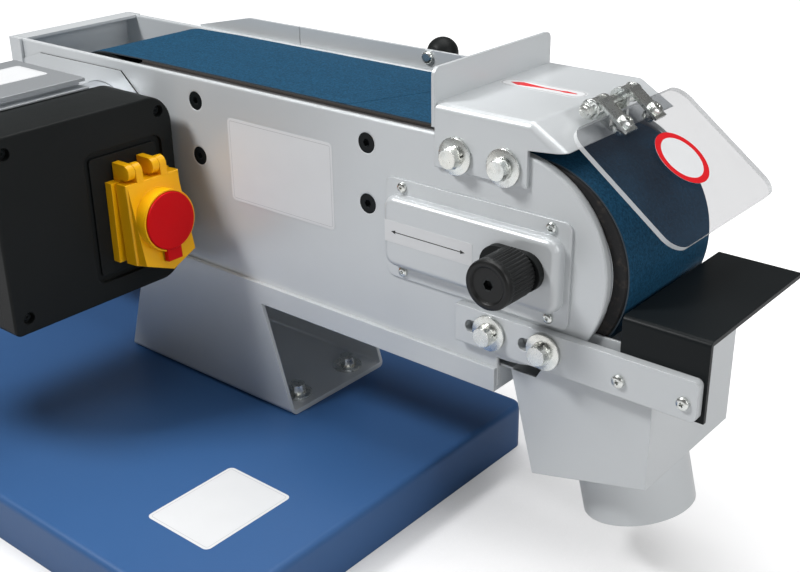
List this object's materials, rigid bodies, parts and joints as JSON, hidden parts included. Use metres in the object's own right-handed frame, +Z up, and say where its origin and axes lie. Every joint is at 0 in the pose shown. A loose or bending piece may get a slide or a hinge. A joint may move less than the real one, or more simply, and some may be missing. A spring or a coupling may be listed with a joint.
{
  "type": "bench belt grinder",
  "caption": "Bench belt grinder: motor-driven abrasive belt over a flat platen and a contact wheel, with hood, eye shield, work rest and dust chute on a base pan.",
  "frame": {"origin": "middle of the machine's footprint (its bounding box) on the bench plane", "axes": "+X from the rear guard to the contact wheel, +Y from the motor side to the far side, +Z up"},
  "size_m": [0.6514, 0.3693, 0.3315],
  "materials": {
    "grey_paint": "semi-gloss light grey powder coat",
    "blue_paint": "semi-gloss blue powder coat",
    "black_paint": "satin black",
    "zinc": "bright zinc",
    "steel": "machined steel",
    "motor_alloy": "cast, satin silver",
    "belt": "abrasive grain on cloth",
    "pad": "graphite cloth",
    "tyre": "hard rubber",
    "black_plastic": "fine-grained black",
    "yellow_plastic": "moulded yellow",
    "red_plastic": "moulded red",
    "green_plastic": "moulded green",
    "clear_plastic": "clear polycarbonate"
  },
  "bodies": {
    "frame": {"base_pan": "blue_paint", "stand": "grey_paint", "stand_bolts": "zinc", "floor_tray": "grey_paint", "near_side_plate": "grey_paint", "far_side_plate": "grey_paint", "rear_guard": "grey_paint", "platen": "steel", "platen_pad": "pad", "platen_screws": "black_paint", "abrasive_belt": "belt", "motor_mount_plate": "grey_paint", "motor_front_bell": "motor_alloy", "motor_housing": "motor_alloy", "motor_rear_bell": "motor_alloy", "motor_bearings": "steel", "fan_cover": "black_plastic", "tension_springs": "steel", "tracking_cover": "grey_paint", "cover_screws": "zinc", "hood": "grey_paint", "hood_bolts": "zinc", "stop_plate": "grey_paint", "shield_bracket": "zinc", "shield_pivot": "zinc", "arm_bolts": "zinc", "dust_chute": "grey_paint", "dust_spigot": "grey_paint", "rear_fence": "grey_paint", "door_brackets": "zinc", "switch_box": "black_plastic", "box_lid": "black_plastic", "box_screws": "black_paint", "switch_panel": "black_plastic", "switch_base": "yellow_plastic", "switch_core": "black_plastic"},
    "rotor": {"rotor_shaft": "steel", "cooling_fan": "black_plastic", "drive_drum": "motor_alloy"},
    "carriage": {"wheel_axle": "steel", "axle_slide": "steel", "knob_base": "black_plastic"},
    "wheel": {"contact_wheel": "motor_alloy", "wheel_tyre": "tyre", "wheel_bearings": "steel"},
    "knob": {"tracking_knob": "black_plastic", "knob_spindle": "steel"},
    "shield": {"eye_shield": "clear_plastic", "shield_straps": "zinc", "shield_screws": "zinc"},
    "work_rest": {"rest_arm": "grey_paint", "work_table": "black_paint", "table_screws": "zinc"},
    "door": {"access_door": "grey_paint", "door_knob": "black_plastic", "knob_bolt": "zinc"},
    "start_key": {"start_button": "green_plastic"},
    "off_key": {"off_button": "red_plastic"},
    "flip_lid": {"switch_lid": "yellow_plastic"},
    "stop_key": {"stop_button": "red_plastic"}
  },
  "joints": [
    {"name": "drum_spin", "type": "hinge", "parent": "frame", "child": "rotor", "pos_m": [-0.20408, 0.09085, 0.227], "axis": [0, 1, 0], "continuous": true},
    {"name": "wheel_tension", "type": "slide", "parent": "frame", "child": "carriage", "axis": [1, 0, 0], "range_m": [-0.008, 0], "stiffness_N_per_m": 1500, "springref_m": 0.01},
    {"name": "wheel_spin", "type": "hinge", "parent": "carriage", "child": "wheel", "pos_m": [0.20325, 0.09085, 0.2215], "axis": [0, 1, 0], "continuous": true},
    {"name": "tracking_turn", "type": "hinge", "parent": "carriage", "child": "knob", "pos_m": [0.20325, 0.00285, 0.2215], "axis": [0, 1, 0], "range_deg": [-720, 720]},
    {"name": "shield_tilt", "type": "hinge", "parent": "frame", "child": "shield", "pos_m": [0.21875, 0.09435, 0.312], "axis": [0, -1, 0], "range_deg": [-5, 100]},
    {"name": "rest_slide", "type": "slide", "parent": "frame", "child": "work_rest", "axis": [1, 0, 0], "range_m": [0, 0.015]},
    {"name": "door_swing", "type": "hinge", "parent": "frame", "child": "door", "pos_m": [0.01475, 0.15965, 0.158], "axis": [-1, 0, 0], "range_deg": [0, 100]},
    {"name": "start_press", "type": "slide", "parent": "frame", "child": "start_key", "axis": [-1, 0, 0], "range_m": [0, 0.003], "stiffness_N_per_m": 800},
    {"name": "off_press", "type": "slide", "parent": "frame", "child": "off_key", "axis": [-1, 0, 0], "range_m": [0, 0.003], "stiffness_N_per_m": 800},
    {"name": "lid_flip", "type": "hinge", "parent": "frame", "child": "flip_lid", "pos_m": [-0.10095, -0.01215, 0.2325], "axis": [0, -1, 0], "range_deg": [-3.5, 106]},
    {"name": "stop_press", "type": "slide", "parent": "flip_lid", "child": "stop_key", "axis": [-0.9981, 0, -0.061], "range_m": [0, 0.0035], "stiffness_N_per_m": 800}
  ],
  "couplings": [
    {"joint": "wheel_spin", "follows": "drum_spin", "ratio": 1}
  ]
}
